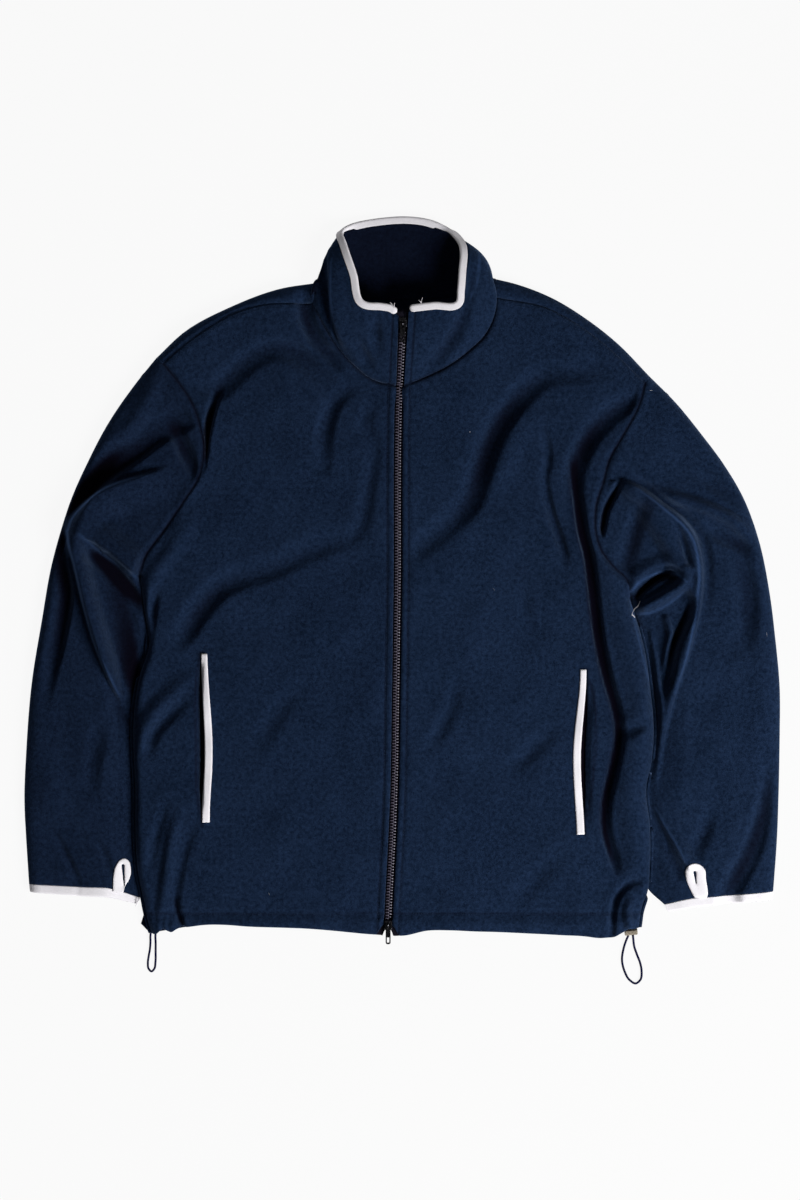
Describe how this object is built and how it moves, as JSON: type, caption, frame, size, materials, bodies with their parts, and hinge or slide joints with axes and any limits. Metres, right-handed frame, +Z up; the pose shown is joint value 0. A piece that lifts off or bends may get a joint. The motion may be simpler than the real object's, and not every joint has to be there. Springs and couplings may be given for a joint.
{
  "type": "jacket",
  "caption": "Navy fleece jacket laid flat on its back, full front zip, stand collar with pale binding, bound cuffs and pockets, cord loops at the hem.",
  "frame": {"origin": "Centre of the garment's box in plan, on the surface that its back lies on. The two free cord loops don't count.", "axes": "+X is the wearer's left, across the jacket. +Y runs from the hem to the collar. +Z points up from the surface, out of the front."},
  "size_m": [0.8174, 0.8309, 0.0419],
  "materials": {
    "fleece": "brushed fleece with a short nap, navy",
    "binding": "smooth elastic binding, off-white",
    "lining": "plain pocket cloth, near black",
    "zip_tape": "woven zip tape, near black",
    "zip_teeth": "moulded zip teeth, charcoal",
    "zip_metal": "dark plated metal",
    "drawcord": "round braided elastic cord, dark navy",
    "cord_lock": "satin beige barrel"
  },
  "bodies": {
    "jacket": {"front_right": "fleece", "front_left": "fleece", "back": "fleece", "sleeve_right_upper": "fleece", "sleeve_right_under": "fleece", "sleeve_left_upper": "fleece", "sleeve_left_under": "fleece", "collar": "fleece", "collar_binding": "binding", "cuff_binding_right": "binding", "cuff_binding_left": "binding", "thumb_loop_right": "binding", "thumb_loop_left": "binding", "pocket_welt_right": "binding", "pocket_welt_left": "binding", "pocket_facing_right": "lining", "pocket_facing_left": "lining", "zip_tape_right": "zip_tape", "zip_tape_left": "zip_tape", "zip_chain": "zip_teeth", "slider_top": "zip_metal", "slider_bottom": "zip_metal", "cord_lock_right": "cord_lock", "cord_lock_left": "cord_lock", "cord_loop_right": "drawcord", "cord_loop_left": "drawcord"},
    "pull_tab_top": {"pull_tab_top": "zip_metal"},
    "pull_tab_bottom": {"pull_tab_bottom": "zip_metal"}
  },
  "joints": [
    {"name": "tab_top_swing", "type": "hinge", "parent": "jacket", "child": "pull_tab_top", "pos_m": [0.00021, 0.27474, 0.03885], "axis": [-1, 0, 0], "range_deg": [0, 150]},
    {"name": "tab_bottom_swing", "type": "hinge", "parent": "jacket", "child": "pull_tab_bottom", "pos_m": [-0.01553, -0.37329, 0.01571], "axis": [-1, 0, 0], "range_deg": [0, 150]}
  ]
}
